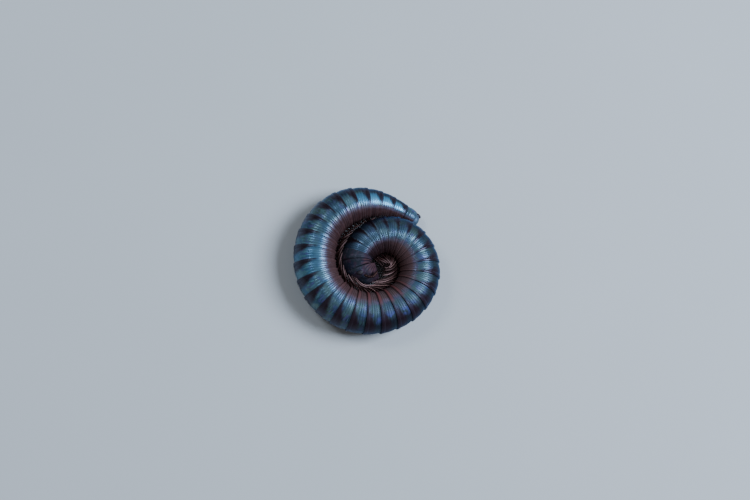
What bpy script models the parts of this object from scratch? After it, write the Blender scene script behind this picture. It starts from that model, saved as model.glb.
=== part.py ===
"""Coiled millipede, life size: a still model lying on its right side.

The body is carried along a flat spiral. Seen from above, the tail is the outer end at the
upper right, the body runs counter-clockwise inward, and the head ends near the hub. The back
is on the outside of the coil, the legs point to the hub, and the left side faces up.
Lengths are in metres, turn angles in degrees counter-clockwise from +X.
"""

import math

import bmesh
import bpy
import numpy as np
from mathutils import Matrix, Vector

# Driving dimensions
BODY_RADIUS = 0.00460
FRONT_TAPER = 0.00140
TAIL_TAPER = 0.00300
SPIRAL_START = 0.01811
SPIRAL_PITCH = 0.00970
TAIL_TUCK = 0.00470
OVAL = 0.00047
OVAL_TURN = 8.5
LIFT = 0.00130
HUB = (0.00245, -0.00107)
GAP = 0.00030

# Turn angles of the first ring's hind edge and the last ring's front edge
FIRST_RING_TURN = 61.0
NECK_TURN = 513.4

RING_COUNT = 32
RINGS_PER_LENGTH = 4
FRONT_SHORTER = 0.25
TAIL_SHORTER = 0.20
SIDES = 24
VENTRAL = 0.83
DEEP_BELLY = 0.15
RIM = 1.035
GROOVE = 0.95

# Along a ring from its hind edge: how far, and how thick against the body radius
RING_PROFILE = ((0.0, RIM), (0.15, RIM), (0.26, 1.005), (0.6, 0.99))

# Collum: the shield behind the head turns the body by this much about the throat
COLLUM_TURN = 35.0
COLLUM_DEPTH = 0.72
COLLUM_PROFILE = ((0.0, 0.98), (0.3, 1.02), (0.65, 0.97), (0.88, 0.90), (1.0, 0.84))
THROAT_RADIUS = 0.0037

# Head, in its own axes: ahead from the neck, to its left, toward its back
HEAD_HALF_HEIGHT = 0.0031
HEAD_HALF_WIDTH = 0.0030
HEAD_DEPTH = 0.0039
HEAD_ROWS = 14
HEAD_SIDES = 19
LIP_NOTCH = 0.0003
CHEEK_BULGE = 0.0003
EYE_LEVEL = 0.28
EYE_AHEAD = 0.00135
EYE_SINK = 0.00016
EYE_SIZES = (0.00055, 0.00075, 0.00038)
FEELER_JOINTS = 7
FEELER_RADIUS = 0.00030
FEELER_ROOT = (0.0021, 0.0034, 0.0004)
FEELER_AHEAD = 0.0010
FEELER_ASIDE = 0.0005
FEELER_DROP = 0.0031

# Tail end, against the body radius there: how far back and how thick, then the closing valves
TELSON_PROFILE = ((0.0, GROOVE), (0.35, 0.97), (0.7, 0.93), (1.0, 0.80), (1.12, 0.62))
VALVE_SIZES = (0.52, 0.62, 0.36)
VALVE_BESIDE = 0.33
VALVE_INWARD = 0.08
TIP_SIZES = (0.50, 0.26, 0.30)
TIP_BACK = 1.05
TIP_OUTWARD = 0.55

# Legs: a pair on each ring, and on every second or third ring where they crowd at the hub
LEG_PLACE = 0.45
LEG_ROOT_DEPTH = 0.0006
LEG_ROOT_RISE = 0.0003
LEG_STANDOFF = 0.00025
LEG_REACH = 0.0009
HUB_REACH = 0.0010
CURL_REACH = 0.0011
LEG_RISE = 0.0023
LEG_TRAIL = 0.0036
LONG_TRAIL = 0.0012
HUB_UPRIGHT = 0.50
TAIL_UPRIGHT = 0.55
LEG_RADIUS = 0.00020
LEG_STEPS = (0.0, 0.14, 0.32, 0.55, 0.78, 1.0)
LEG_CLEARANCE = 0.0001
HUB_ROOM = 0.0035
LEG_STRIDES = ((300.0, 1), (430.0, 2), (NECK_TURN, 3))
HEAD_END_TURN = 585.0
HEAD_MIDDLE = (0.0012, 0.0, -0.0005)
HEAD_ROOM = 0.00334

# Shell, limb and eye colours
RING_COLOUR = (0.055, 0.095, 0.125)
COLLUM_COLOUR = (0.030, 0.040, 0.075)
HEAD_COLOUR = (0.028, 0.032, 0.055)
FEELER_COLOUR = (0.13, 0.06, 0.055)
EYE_COLOUR = (0.01, 0.01, 0.012)


def smooth(t):
    """Smooth step from 0 to 1."""
    t = np.clip(t, 0.0, 1.0)
    return t * t * (3.0 - 2.0 * t)


def spiral_radius(turn):
    """Distance of the centre line from the hub."""
    tuck = TAIL_TUCK * smooth((158.4 - turn) / 170.0)
    oval = OVAL * np.cos(np.radians(2.0 * (turn - OVAL_TURN)))
    return SPIRAL_START - SPIRAL_PITCH * turn / 360.0 - tuck + oval


def body_radius(turn):
    """Half the thickness of the body."""
    front = FRONT_TAPER * smooth((turn - 400.0) / 200.0)
    tail = TAIL_TAPER * smooth((130.0 - turn) / 95.0)
    return BODY_RADIUS - front - tail


def ventral(turn):
    """Depth of the belly against the body radius: fullest between the tail and the inner turn."""
    full = smooth((turn - 120.0) / 50.0) * (1.0 - smooth((turn - 395.0) / 60.0))
    return VENTRAL + DEEP_BELLY * float(full)


def centre_height(turn):
    """The outer turn lies on the floor and the inner one rides up over the tail."""
    return body_radius(turn) + LIFT * smooth((turn - 355.0) / 60.0)


def centre(turn):
    angle = math.radians(turn)
    radius = float(spiral_radius(turn))
    return Vector((HUB[0] + radius * math.cos(angle), HUB[1] + radius * math.sin(angle),
                   float(centre_height(turn))))


def heading(turn):
    """Unit vector along the body toward the head, level with the floor."""
    step = centre(turn + 0.05) - centre(turn - 0.05)
    step.z = 0.0
    return step.normalized()


def outward(ahead):
    """The back's direction for a body that points ahead."""
    return Vector((ahead.y, -ahead.x, 0.0))


def ring_edges():
    """Turn angles of the rings' edges: equal steps along the back, shorter at both ends."""
    turns = np.arange(FIRST_RING_TURN, NECK_TURN, 0.1)
    back = np.array([centre(t) + outward(heading(t)) * float(body_radius(t)) for t in turns])
    steps = np.linalg.norm(np.diff(back[:, :2], axis=0), axis=1)
    middles = 0.5 * (turns[1:] + turns[:-1])
    front = FRONT_SHORTER * smooth((middles - 270.0) / 280.0)
    tail = TAIL_SHORTER * smooth((115.0 - middles) / 60.0)
    count = np.concatenate(([0.0], np.cumsum(steps / (1.0 - front - tail))))
    return np.interp(np.linspace(0.0, count[-1], RING_COUNT + 1), count, turns)


def section(middle, ahead, radius, deep, floor=True):
    """Points of one cross-section, round over the back and sides and flatter at the belly."""
    out = outward(ahead)
    points = []
    for k in range(SIDES):
        angle = 2.0 * math.pi * (k + 0.5) / SIDES
        across = radius * math.cos(angle)
        if across < 0.0:
            across *= deep
        point = middle + out * across
        point.z += radius * math.sin(angle)
        if floor:
            point.z = max(point.z, 0.0)
        points.append(point)
    return points


def turn_section(turn, scale, back=0.0):
    """The section at a turn angle, moved back along the body where a cut needs its gap."""
    ahead = heading(turn)
    radius = float(body_radius(turn)) * scale
    return section(centre(turn) - ahead * back, ahead, radius, ventral(turn))


def loft(sections):
    """A closed bmesh carried through sections with the same number of points."""
    mesh = bmesh.new()
    rings = [[mesh.verts.new(point) for point in points] for points in sections]
    count = len(sections[0])
    for low, high in zip(rings[:-1], rings[1:]):
        for k in range(count):
            after = (k + 1) % count
            mesh.faces.new((low[k], low[after], high[after], high[k]))
    mesh.faces.new(rings[0])
    mesh.faces.new(rings[-1])
    bmesh.ops.recalc_face_normals(mesh, faces=mesh.faces)
    return mesh


def collection(name):
    group = bpy.data.collections.new(name)
    bpy.context.scene.collection.children.link(group)
    return group


def add_object(name, mesh, group):
    """Turn a bmesh into an object of the group."""
    data = bpy.data.meshes.new(name)
    mesh.to_mesh(data)
    mesh.free()
    result = bpy.data.objects.new(name, data)
    group.objects.link(result)
    return result


def paint(part, colour, roughness, metallic=0.0):
    """Give a part a Principled material of its own."""
    material = bpy.data.materials.new(part.name)
    material.use_nodes = True
    shader = material.node_tree.nodes["Principled BSDF"]
    shader.inputs["Base Color"].default_value = (*colour, 1.0)
    shader.inputs["Roughness"].default_value = roughness
    shader.inputs["Metallic"].default_value = metallic
    part.data.materials.clear()
    part.data.materials.append(material)


def join(part, pieces, cut=False):
    """Fuse loose pieces with a part, or cut them from it, and keep the largest closed surface."""
    group = collection(part.name + "_pieces")
    for piece in pieces:
        for owner in piece.users_collection:
            owner.objects.unlink(piece)
        group.objects.link(piece)
    boolean = part.modifiers.new("join", "BOOLEAN")
    boolean.operation = "DIFFERENCE" if cut else "UNION"
    boolean.operand_type = "COLLECTION"
    boolean.collection = group
    boolean.solver = "EXACT"
    shape = part.evaluated_get(bpy.context.evaluated_depsgraph_get())
    joined = bpy.data.meshes.new_from_object(shape)
    part.modifiers.clear()
    part.data = joined
    for piece in list(group.objects):
        bpy.data.objects.remove(piece)
    bpy.data.collections.remove(group)
    keep_largest(part)


def keep_largest(part):
    """Drop every closed surface but the one with the most faces."""
    mesh = bmesh.new()
    mesh.from_mesh(part.data)
    left = set(mesh.faces)
    shells = []
    while left:
        shell = [left.pop()]
        for face in shell:
            near = {other for edge in face.edges for other in edge.link_faces}
            fresh = near & left
            left -= fresh
            shell.extend(fresh)
        shells.append(shell)
    shells.sort(key=len)
    loose = [face for shell in shells[:-1] for face in shell]
    bmesh.ops.delete(mesh, geom=loose, context="FACES")
    mesh.to_mesh(part.data)
    mesh.free()


def clear_of_inner_turn(point, turn, reach):
    """Move a leg's point out of the next turn of the coil, which the legs lie against."""
    away = Vector((point.x - HUB[0], point.y - HUB[1]))
    inner = turn + 360.0
    across = away.length - float(spiral_radius(inner))
    up = point.z - float(centre_height(inner))
    there = 1.0 - float(smooth((inner - HEAD_END_TURN) / 25.0))
    room = float(body_radius(inner)) * RIM * there + GAP + reach
    distance = math.hypot(across, up)
    if distance >= room:
        return point
    scale = room / distance
    flat = away.normalized() * (float(spiral_radius(inner)) + across * scale)
    return Vector((HUB[0] + flat.x, HUB[1] + flat.y, float(centre_height(inner)) + up * scale))


def clear_of_head(point, reach):
    """Move a leg's point out of the round room that the head needs."""
    middle = head_point(*HEAD_MIDDLE)
    away = point - middle
    room = HEAD_ROOM + reach
    return middle + away * max(room / away.length, 1.0)


def leg_point(turn, side, along):
    """A point of a leg: 0 is its root inside the belly, 1 its claw, side +1 is the upper row.

    A leg comes out of the belly at once, then lies back toward the tail in the groove between
    two turns, rising in the upper row and sinking in the lower. The legs under the head are the
    longest."""
    radius = float(body_radius(turn))
    size = 0.4 + 0.6 * radius / BODY_RADIUS
    lean = 1.0 - HUB_UPRIGHT * float(smooth((turn - 330.0) / 120.0))
    lean -= TAIL_UPRIGHT * float(smooth((165.0 - turn) / 45.0))
    curl = smooth((turn - 340.0) / 50.0) * (1.0 - 0.3 * smooth((turn - 440.0) / 40.0))
    reach = LEG_REACH + HUB_REACH * smooth((turn - 235.0) / 50.0) + CURL_REACH * curl
    out = (LEG_ROOT_DEPTH + LEG_STANDOFF) * (1.0 - (1.0 - along) ** 5)
    depth = ventral(turn) * radius - LEG_ROOT_DEPTH + out + float(reach) * size * along ** 1.3
    rise = (LEG_ROOT_RISE + (LEG_RISE - LEG_ROOT_RISE) * along ** 1.3) * size
    longest = smooth((turn - 270.0) / 25.0) * (1.0 - smooth((turn - 350.0) / 60.0))
    trail = (LEG_TRAIL + LONG_TRAIL * float(longest)) * size * lean * along ** 1.4
    place = turn - math.degrees(trail / max(float(spiral_radius(turn)) - depth, HUB_ROOM))
    point = centre(place) - outward(heading(place)) * depth
    point.z += side * rise
    point = clear_of_inner_turn(point, place, LEG_RADIUS + LEG_CLEARANCE)
    point = clear_of_head(point, GAP + LEG_RADIUS)
    point.z = max(point.z, GAP + LEG_RADIUS)
    return point


def legs(name, first, last, edges, group):
    """Pairs of legs on the rings but the last, tapered tubes that lean back along the coil."""
    routes = []
    for ring in range(max(first, 1), last):
        turn = edges[ring] + LEG_PLACE * (edges[ring + 1] - edges[ring])
        stride = next(step for limit, step in LEG_STRIDES if turn < limit)
        if ring % stride:
            continue
        for side in (1, -1):
            routes.append([leg_point(turn, side, along) for along in LEG_STEPS])
    radii = [LEG_RADIUS * (1.0 - 0.45 * along ** 1.5) for along in LEG_STEPS]
    return tubes(name, routes, radii, 0, group)


def body_length(number, edges, group):
    """A length of the body: rings with a raised hind rim, and their legs."""
    last = RING_COUNT - (number - 1) * RINGS_PER_LENGTH
    first = last - RINGS_PER_LENGTH
    sections = []
    for ring in range(first, last):
        hind = edges[ring]
        span = edges[ring + 1] - hind
        for step, scale in RING_PROFILE:
            sections.append(turn_section(hind + step * span, scale))
        if ring < last - 1:
            sections.append(turn_section(hind + 0.97 * span, GROOVE))
    sections.append(turn_section(edges[last], GROOVE, back=GAP))
    part = add_object(f"body_{number}", loft(sections), group)
    join(part, [legs(part.name + "_legs", first, last, edges, group)])
    paint(part, RING_COLOUR, 0.3)
    return part


def ball(name, middle, ahead, sizes, group, segments=12):
    """An ellipsoid with its half sizes ahead, across the body's height and up."""
    mesh = bmesh.new()
    bmesh.ops.create_uvsphere(mesh, u_segments=segments, v_segments=segments // 2 + 1, radius=1.0)
    axes = Matrix((ahead, -outward(ahead), Vector((0.0, 0.0, 1.0)))).transposed()
    place = Matrix.Translation(middle) @ axes.to_4x4() @ Matrix.Diagonal((*sizes, 1.0))
    bmesh.ops.transform(mesh, matrix=place, verts=mesh.verts)
    return add_object(name, mesh, group)


def telson(edges, group):
    """The tail end: a blunt ring with a short tip at the back, closed by two round valves."""
    ahead = heading(edges[0])
    base = centre(edges[0]) - ahead * GAP
    radius = float(body_radius(edges[0]))
    sections = []
    for step, scale in TELSON_PROFILE:
        sections.append(section(base - ahead * radius * step, ahead, radius * scale, VENTRAL))
    part = add_object("telson", loft(sections), group)
    valves = []
    for side in (1, -1):
        middle = base - ahead * radius - outward(ahead) * radius * VALVE_INWARD
        middle.z += side * radius * VALVE_BESIDE
        sizes = [radius * size for size in VALVE_SIZES]
        valves.append(ball(f"valve{side}", middle, ahead, sizes, group))
    tip = base - ahead * radius * TIP_BACK + outward(ahead) * radius * TIP_OUTWARD
    valves.append(ball("tip", tip, ahead, [radius * size for size in TIP_SIZES], group))
    join(part, valves)
    paint(part, RING_COLOUR, 0.35)
    return part


def neck_frame(angle):
    """Centre and heading where the body has turned by this angle about the throat."""
    start = heading(NECK_TURN)
    base = centre(NECK_TURN) + start * GAP
    pivot = base - outward(start) * THROAT_RADIUS
    ahead = Matrix.Rotation(math.radians(angle), 3, "Z") @ start
    return pivot + outward(ahead) * THROAT_RADIUS, ahead


def collum(group):
    """The smooth first shield, a wedge that turns toward the head."""
    sections = []
    for step, scale in COLLUM_PROFILE:
        middle, ahead = neck_frame(step * COLLUM_TURN)
        radius = float(body_radius(NECK_TURN)) * scale
        sections.append(section(middle, ahead, radius, deep=COLLUM_DEPTH, floor=False))
    part = add_object("collum", loft(sections), group)
    paint(part, COLLUM_COLOUR, 0.3)
    return part


def head_point(x, y, z):
    """From the head's own axes (ahead, to its left, toward its back) to the world."""
    middle, ahead = neck_frame(COLLUM_TURN)
    base = middle + ahead * GAP
    point = base + ahead * x + outward(ahead) * z
    point.z += y
    return point


def head_outline(level):
    """Depth of the face and half width of the head at a level, -1 at the lip, 1 at the crown."""
    above = max(level + 0.2, 0.0) / 1.25
    below = max(-level - 0.2, 0.0) / 0.8
    depth = HEAD_DEPTH * ((1.0 - above ** 2) ** 0.85 - 0.12 * below ** 2)
    crown = max(level, 0.0)
    chin = max(-level - 0.1, 0.0) / 0.9
    wide = HEAD_HALF_WIDTH * (1.0 - 0.58 * crown ** 2.2 - 0.50 * chin ** 1.8)
    return depth, wide


def cheek(level, side_angle):
    """The rounded bulge of the jaw's base at each side, below the feeler."""
    return CHEEK_BULGE * math.exp(-((level + 0.45) / 0.25) ** 2 - ((abs(side_angle) - 1.15) / 0.28) ** 2)


def head(group):
    """The capsule: flat where it meets the collum, a sloping face, full cheeks and a notched lip."""
    sections = []
    for row in range(HEAD_ROWS + 1):
        level = 1.0 - 2.0 * row / HEAD_ROWS
        depth, wide = head_outline(level)
        notch = LIP_NOTCH * float(smooth((-level - 0.7) / 0.3))
        points = []
        for k in range(HEAD_SIDES):
            angle = math.pi * (k / (HEAD_SIDES - 1) - 0.5)
            bulge = cheek(level, angle)
            x = depth * abs(math.cos(angle)) ** 0.8
            y = wide * math.copysign(abs(math.sin(angle)) ** 0.9, math.sin(angle))
            x += bulge * math.cos(angle) - notch * math.exp(-(angle / 0.16) ** 2)
            y += bulge * math.sin(angle)
            points.append(head_point(x, y, level * HEAD_HALF_HEIGHT))
        sections.append(points)
    part = add_object("head", loft(sections), group)
    paint(part, HEAD_COLOUR, 0.35)
    return part


def eye_place(side):
    """The middle of an eye patch, on the head's side behind the feeler."""
    depth, wide = head_outline(EYE_LEVEL)
    return head_point(EYE_AHEAD, side * (wide - EYE_SINK), EYE_LEVEL * HEAD_HALF_HEIGHT)


def eye(name, side, group):
    """A low oval patch of many small lenses at the side of the head."""
    ahead = neck_frame(COLLUM_TURN)[1]
    part = ball(name, eye_place(side), ahead, EYE_SIZES, group)
    paint(part, EYE_COLOUR, 0.15)
    return part


def eye_socket(side, group):
    """The cutter for a shallow socket that leaves the gap all round an eye."""
    ahead = neck_frame(COLLUM_TURN)[1]
    sizes = [size + GAP for size in EYE_SIZES]
    return ball("socket", eye_place(side), ahead, sizes, group)


def tubes(name, routes, radii, resolution, group):
    """Tapered tubes through points, made as one curve and turned into a closed mesh."""
    data = bpy.data.curves.new(name, "CURVE")
    data.dimensions = "3D"
    data.bevel_depth = 1.0
    data.bevel_resolution = resolution
    data.use_fill_caps = True
    for route in routes:
        spline = data.splines.new("POLY")
        spline.points.add(len(route) - 1)
        for point, place, radius in zip(spline.points, route, radii):
            point.co = (*place, 1.0)
            point.radius = radius
    curve = bpy.data.objects.new(name, data)
    group.objects.link(curve)
    shape = curve.evaluated_get(bpy.context.evaluated_depsgraph_get())
    mesh = bmesh.new()
    mesh.from_mesh(bpy.data.meshes.new_from_object(shape))
    bmesh.ops.remove_doubles(mesh, verts=mesh.verts, dist=0.000001)
    bmesh.ops.recalc_face_normals(mesh, faces=mesh.faces)
    bpy.data.objects.remove(curve)
    return add_object(name, mesh, group)


def antenna(name, side, group):
    """A short club-shaped feeler of seven joints, folded down along the cheek."""
    radii = []
    points = []
    for joint in range(FEELER_JOINTS):
        for part_way, thick in ((0.06, 0.72), (0.75, 1.0)):
            along = (joint + part_way) / FEELER_JOINTS
            club = 0.85 + 0.30 * along - 0.62 * float(smooth((along - 0.86) / 0.14))
            radii.append(FEELER_RADIUS * thick * club)
            points.append(feeler_point(side, along))
    part = tubes(name, [points], radii, 1, group)
    paint(part, FEELER_COLOUR, 0.4)
    return part


def feeler_point(side, along):
    """A feeler's centre line: out of the head's side, forward, then down and back to the lip."""
    bend = math.pi * (0.02 + 0.98 * along)
    x = FEELER_ROOT[0] + FEELER_AHEAD * math.sin(bend)
    y = FEELER_ROOT[1] + FEELER_ASIDE * math.sin(bend) - 0.0004 * along
    z = FEELER_ROOT[2] - FEELER_DROP * along
    return head_point(x, side * y, z)


def main():
    for thing in list(bpy.data.objects):
        bpy.data.objects.remove(thing)
    group = collection("millipede")
    cutters = collection("cutters")
    edges = ring_edges()
    head_part = head(group)
    join(head_part, [eye_socket(side, cutters) for side in (1, -1)], cut=True)
    eye("eye_left", 1, group)
    eye("eye_right", -1, group)
    antenna("antenna_left", 1, group)
    antenna("antenna_right", -1, group)
    collum(group)
    for number in range(1, RING_COUNT // RINGS_PER_LENGTH + 1):
        body_length(number, edges, group)
    telson(edges, group)


main()
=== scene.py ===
"""Coiled millipede, life size: the finish of every surface, the lights and the camera.

The body follows the same flat spiral as its solids: the tail is the outer end at the upper
right, the head ends near the hub, the back is on the outside of the coil, the left side faces
up. Lengths are in metres, turn angles in degrees counter-clockwise from +X.
"""

import math

import bpy
import numpy as np
from mathutils import Matrix, Vector


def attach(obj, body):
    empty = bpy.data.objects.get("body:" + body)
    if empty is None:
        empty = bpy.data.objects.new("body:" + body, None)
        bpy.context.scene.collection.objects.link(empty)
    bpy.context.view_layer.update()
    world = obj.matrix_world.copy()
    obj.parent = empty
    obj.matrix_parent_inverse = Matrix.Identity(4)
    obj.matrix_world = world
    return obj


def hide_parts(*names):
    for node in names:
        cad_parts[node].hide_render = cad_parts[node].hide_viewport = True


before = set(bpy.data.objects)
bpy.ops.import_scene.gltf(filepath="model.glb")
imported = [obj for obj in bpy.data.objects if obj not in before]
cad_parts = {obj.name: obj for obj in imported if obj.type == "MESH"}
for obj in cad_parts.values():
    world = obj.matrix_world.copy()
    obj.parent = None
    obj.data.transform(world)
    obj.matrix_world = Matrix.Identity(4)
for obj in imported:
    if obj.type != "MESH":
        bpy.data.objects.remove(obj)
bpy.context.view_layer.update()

# The coil, as in the solids
BODY_RADIUS = 0.00460
FRONT_TAPER = 0.00140
TAIL_TAPER = 0.00300
SPIRAL_START = 0.01811
SPIRAL_PITCH = 0.00970
TAIL_TUCK = 0.00470
OVAL = 0.00047
OVAL_TURN = 8.5
LIFT = 0.00130
HUB = (0.00245, -0.00107)
GAP = 0.00030
FIRST_RING_TURN = 61.0
NECK_TURN = 513.4
RING_COUNT = 32
RINGS_PER_LENGTH = 4
VENTRAL = 0.83
DEEP_BELLY = 0.15
RIM = 1.035

# Collum and head, as in the solids
COLLUM_TURN = 35.0
THROAT_RADIUS = 0.0037
HEAD_HALF_HEIGHT = 0.0031
HEAD_HALF_WIDTH = 0.0030
HEAD_DEPTH = 0.0039
LIP_NOTCH = 0.0003
COLLUM_DEPTH = 0.72
FAN_STEP = 11.0
FAN_HEIGHT = 0.013
EYE_LEVEL = 0.28
EYE_AHEAD = 0.00135
EYE_SIZES = (0.00055, 0.00075, 0.00038)
FEELER_JOINTS = 7
FEELER_RADIUS = 0.00030

# Legs: two pairs a ring, one on the three rings next to the head, none on the tail's last ring
LEG_ROOT_DEPTH = 0.0006
LEG_ROOT_RISE = 0.0003
LEG_STANDOFF = 0.00025
LEG_REACH = 0.0009
HUB_REACH = 0.0010
CURL_REACH = 0.0011
LEG_RISE = 0.0023
LOW_PAIR = 0.50
LOW_RING = 0.80
LEG_TRAIL = 0.0036
LONG_TRAIL = 0.0012
LEG_RADIUS = 0.00017
LEG_SIDES = 8
LEG_JOINTS = 6
CLAW_LENGTH = 0.00022
HEAD_END_TURN = 585.0
HEAD_MIDDLE = (0.0012, 0.0, -0.0005)
HEAD_ROOM = 0.00334
HUB_UPRIGHT = 0.50
TAIL_UPRIGHT = 0.55
LEG_ROWS = 19
LEG_CLEARANCE = 0.00005
LEG_FLOOR_HEIGHT = 0.0004
LEG_PLACES = (0.30, 0.74)
SINGLE_LEG_PLACE = 0.45
HUB_ROOM = 0.0035

# Grid of one ring: points around it, and rows along its outer face
AROUND = 168
ALONG = 54

# Shape of one ring: its raised rim and sunk front against the body radius, the step between its
# cross grooves, the pores' angle, and how far the ring behind the collum runs on into it
SHELL_RIM = 1.017
GROOVE = 0.96
CROSS_GROOVE_STEP = 0.19
PORE_ANGLE = 1.12
NECK_INSERT = 0.22

# The photo's frame: one pixel's size at the coil, and where the hub lies from the frame's middle
PIXEL = 0.0002162
FRAME_WIDTH_PIXELS = 750
HUB_RIGHT_PIXELS = 3.0
HUB_DOWN_PIXELS = 14.9
CAMERA_DIRECTION = (-0.1616, -0.2164, 0.9628)
LENS_MM = 90.0
SENSOR_MM = 36.0
HUB_HEIGHT = 0.0046
LIGHT_AIM = (0.0, 0.0, 0.004)

# Tail end: its radius at steps behind the last ring, both against the body radius there
TAIL_STEPS = (-0.25, 0.0, 0.35, 0.7, 1.0, 1.12)
TAIL_SCALES = (0.94, 0.965, 0.98, 0.93, 0.80, 0.62)

# Grid of each rounded part of the tail end
ELLIPSOID_ROWS = 36
ELLIPSOID_SIDES = 48

# Values that the ring shell's material reads at each point
RING_VALUES = ("hind", "back", "seed", "dark", "groove", "rust", "dull", "hood", "shade",
               "lit", "tan", "tail")

# Colours of the rings' back and side
SHEEN_BLUE = (0.036, 0.080, 0.122)
SHEEN_GREEN = (0.098, 0.160, 0.134)
SHEEN_VIOLET = (0.094, 0.072, 0.230)
PAINTED_SHINE_SLATE = (0.078, 0.124, 0.158)
PAINTED_SHADE_SLATE = (0.030, 0.038, 0.048)
LIT_TEAL = (0.070, 0.200, 0.320)
FLANK_PAINTED_HIGHLIGHT = (0.110, 0.350, 0.530)
FRONT_SLATE = (0.070, 0.110, 0.165)
RIDGE_PAINTED_SHADE = (0.011, 0.007, 0.008)
GLINT_BLUE = (0.070, 0.074, 0.240)
DASH_TEAL_GLINT = (0.105, 0.240, 0.275)
DASH_VIOLET_GLINT = (0.120, 0.095, 0.290)
CREST_HIGHLIGHT = (0.140, 0.210, 0.260)
BAND_MAROON = (0.026, 0.009, 0.012)

# Colours of the rings' belly side and edges
BELLY_DARK = (0.040, 0.019, 0.020)
BELLY_BROWN = (0.070, 0.033, 0.031)
BELLY_TAN = (0.125, 0.064, 0.058)
BELLY_SAND = (0.092, 0.060, 0.050)
BELLY_SHADE = (0.014, 0.007, 0.009)
BLUSH = (0.125, 0.085, 0.120)
GROOVE_RED = (0.070, 0.020, 0.019)
STRIPE_RUST = (0.135, 0.032, 0.026)
SEAM_PAINTED_SHADE = (0.012, 0.010, 0.015)
LIP_PAINTED_SHADE = (0.014, 0.006, 0.007)

# Colours of the collum and the head
HEAD_BLUE = (0.022, 0.027, 0.045)
HEAD_SLATE = (0.028, 0.032, 0.040)
HEAD_VIOLET = (0.058, 0.028, 0.044)
HEAD_FLECK_HIGHLIGHT = (0.110, 0.085, 0.115)
MOUTH_DARK = (0.030, 0.015, 0.022)
MOUTH_BROWN = (0.056, 0.026, 0.032)
FAN_PAINTED_HIGHLIGHT = (0.115, 0.052, 0.052)
HEAD_SEAM_AND_SHADE = (0.010, 0.006, 0.008)

# Colours of the legs, the feelers and the eyes
LIMB_DARK = (0.030, 0.010, 0.010)
LIMB_BROWN = (0.064, 0.025, 0.023)
LIMB_ROOT_SHADE = (0.014, 0.005, 0.006)
LIMB_JOINT = (0.045, 0.018, 0.018)
LIMB_PINK = (0.300, 0.170, 0.160)
CLAW_BROWN = (0.030, 0.013, 0.010)
LIMB_SHADE = (0.007, 0.003, 0.003)
LENS_BLACK = (0.006, 0.006, 0.009)
LENS_BLUE = (0.016, 0.014, 0.022)
EYE_BROWN = (0.035, 0.018, 0.018)

# Tints of the gloss on the rings, the head and the legs
SHINE_TINT = (0.40, 0.64, 1.0, 1.0)
HEAD_TINT = (0.90, 0.60, 0.74, 1.0)
LIMB_TINT = (1.0, 0.54, 0.44, 1.0)

rng = np.random.default_rng(7)


# Path of the body

def smooth(t):
    """Smooth step: 3 t^2 - 2 t^3, with t held between 0 and 1."""
    t = np.clip(t, 0.0, 1.0)
    return t * t * (3.0 - 2.0 * t)


def bump(t, middle, width):
    """Bell curve: e to the minus square of the distance from the middle over the width."""
    return np.exp(-((t - middle) / width) ** 2)


def spiral_radius(turn):
    """Distance from the hub: falls evenly with the turn, less the tail's tuck, plus a slight oval."""
    tuck = TAIL_TUCK * smooth((158.4 - turn) / 170.0)
    oval = OVAL * np.cos(np.radians(2.0 * (turn - OVAL_TURN)))
    return SPIRAL_START - SPIRAL_PITCH * turn / 360.0 - tuck + oval


def body_radius(turn):
    """Half the body's thickness: full in the middle, thinner toward the head and the tail."""
    front = FRONT_TAPER * smooth((turn - 400.0) / 200.0)
    tail = TAIL_TAPER * smooth((130.0 - turn) / 95.0)
    return BODY_RADIUS - front - tail


def ventral(turn):
    """Depth of the belly against the body radius: fuller from the tail's third to the inner turn."""
    full = smooth((turn - 120.0) / 50.0) * (1.0 - smooth((turn - 395.0) / 60.0))
    return VENTRAL + DEEP_BELLY * full


def centre(turn):
    """Centre line: hub plus radius times (cos, sin) of the turn, lifted where it rides on the tail."""
    turn = np.asarray(turn, float)
    angle = np.radians(turn)
    radius = spiral_radius(turn)
    height = body_radius(turn) + LIFT * smooth((turn - 355.0) / 60.0)
    return np.stack([HUB[0] + radius * np.cos(angle), HUB[1] + radius * np.sin(angle), height], -1)


def heading(turn):
    """Unit vector toward the head: the difference of two near points, laid level."""
    turn = np.asarray(turn, float)
    step = centre(turn + 0.05) - centre(turn - 0.05)
    step[..., 2] = 0.0
    return step / np.linalg.norm(step, axis=-1, keepdims=True)


def outward(ahead):
    """The back's direction: the heading turned a quarter to the right."""
    return np.stack([ahead[..., 1], -ahead[..., 0], np.zeros_like(ahead[..., 0])], -1)


def ring_edges():
    """Turn angles of the rings' edges: equal steps along the back, shorter at both ends."""
    turns = np.arange(FIRST_RING_TURN, NECK_TURN, 0.1)
    back = centre(turns) + outward(heading(turns)) * body_radius(turns)[:, None]
    steps = np.linalg.norm(np.diff(back[:, :2], axis=0), axis=1)
    middles = 0.5 * (turns[1:] + turns[:-1])
    length = 1.0 - 0.25 * smooth((middles - 270.0) / 280.0) - 0.2 * smooth((115.0 - middles) / 60.0)
    count = np.concatenate(([0.0], np.cumsum(steps / length)))
    return np.interp(np.linspace(0.0, count[-1], RING_COUNT + 1), count, turns)


EDGES = ring_edges()


def neck_frame(angle):
    """Centre and heading of the collum where it has turned by an angle about the throat."""
    angle = np.radians(np.asarray(angle, float))
    start = heading(NECK_TURN)
    base = centre(NECK_TURN) + start * GAP
    pivot = base - outward(start) * THROAT_RADIUS
    cos, sin = np.cos(angle), np.sin(angle)
    ahead = np.stack([start[0] * cos - start[1] * sin, start[0] * sin + start[1] * cos,
                      np.zeros_like(cos)], -1)
    return pivot + outward(ahead) * THROAT_RADIUS, ahead


# Mesh building

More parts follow.
